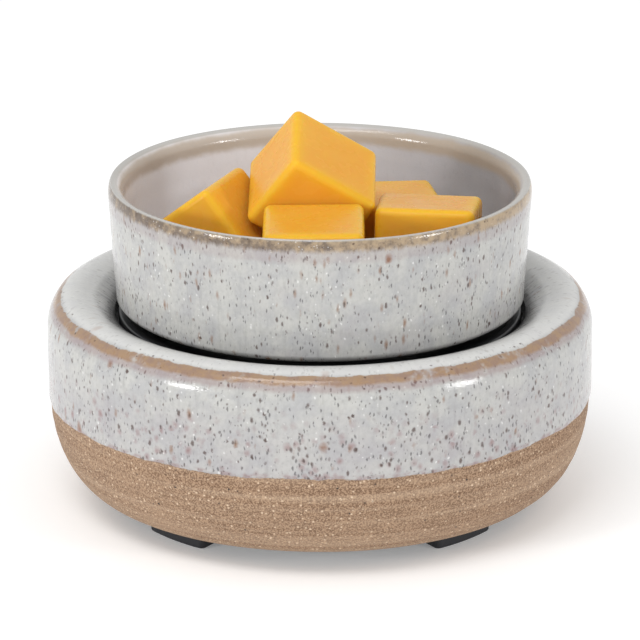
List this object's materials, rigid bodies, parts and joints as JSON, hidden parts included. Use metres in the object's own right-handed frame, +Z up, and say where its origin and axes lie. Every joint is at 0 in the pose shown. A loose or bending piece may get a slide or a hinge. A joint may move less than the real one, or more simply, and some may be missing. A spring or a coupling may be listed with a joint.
{
  "type": "electric wax melt warmer",
  "caption": "Electric warmer for scented wax melts: a squat glazed stoneware base with a sunken hot plate, and a loose glazed dish of wax melts on it.",
  "frame": {"origin": "centre of the ring of feet, on the table", "axes": "+Z up through the centre of the dish, -Y towards the front, +Y towards the cord entry at the back"},
  "size_m": [0.14, 0.14, 0.103],
  "materials": {
    "stoneware": "speckled off-white glaze over bare sandy clay",
    "glaze": "speckled off-white gloss glaze with a tan rim",
    "black_coating": "satin black non-stick coating",
    "silicone": "matt",
    "mica": "pressed mica sheet",
    "element_foil": "etched foil",
    "fibre": "soft fibre felt",
    "plated_steel": "zinc plated",
    "fuse_metal": "bright can",
    "bright_aluminium": "mill finish",
    "brass": "turned",
    "black_plastic": "fine spark-eroded texture",
    "black_rubber": "matt",
    "steatite": "unglazed steatite",
    "wire_sleeve": "silicone sleeve",
    "wax": "smooth, slightly translucent wax"
  },
  "bodies": {
    "warmer_base": {"ceramic_base": "stoneware", "hot_plate": "black_coating", "plate_seal": "silicone", "upper_mica_sheet": "mica", "lower_mica_sheet": "mica", "foil_element": "element_foil", "insulation_pad": "fibre", "pressure_plate": "plated_steel", "clamp_washer": "plated_steel", "clamp_screw": "plated_steel", "thermal_fuse": "fuse_metal", "fuse_clip": "plated_steel", "fuse_clip_screw": "plated_steel", "heat_shield": "bright_aluminium", "standoffs": "brass", "bottom_cover": "black_plastic", "cover_screws": "plated_steel", "foot_back_left": "black_rubber", "foot_back_right": "black_rubber", "foot_front_left": "black_rubber", "foot_front_right": "black_rubber", "cord_grommet": "black_rubber", "terminal_block": "steatite", "terminal_sleeves": "brass", "terminal_screws": "plated_steel", "block_screw": "plated_steel", "heater_lead": "wire_sleeve", "fuse_lead": "wire_sleeve", "link_lead": "wire_sleeve"},
    "dish": {"melting_dish": "glaze"},
    "wax_melts": {"wax_melt_top": "wax", "wax_melt_front": "wax", "wax_melt_left": "wax", "wax_melt_right_front": "wax", "wax_melt_right_back": "wax"}
  },
  "joints": [
    {"name": "dish_lift", "type": "slide", "parent": "warmer_base", "child": "dish", "axis": [0, 0, 1], "range_m": [0, 0.06]},
    {"name": "wax_lift", "type": "slide", "parent": "dish", "child": "wax_melts", "axis": [0, 0, 1], "range_m": [0, 0.04]}
  ]
}
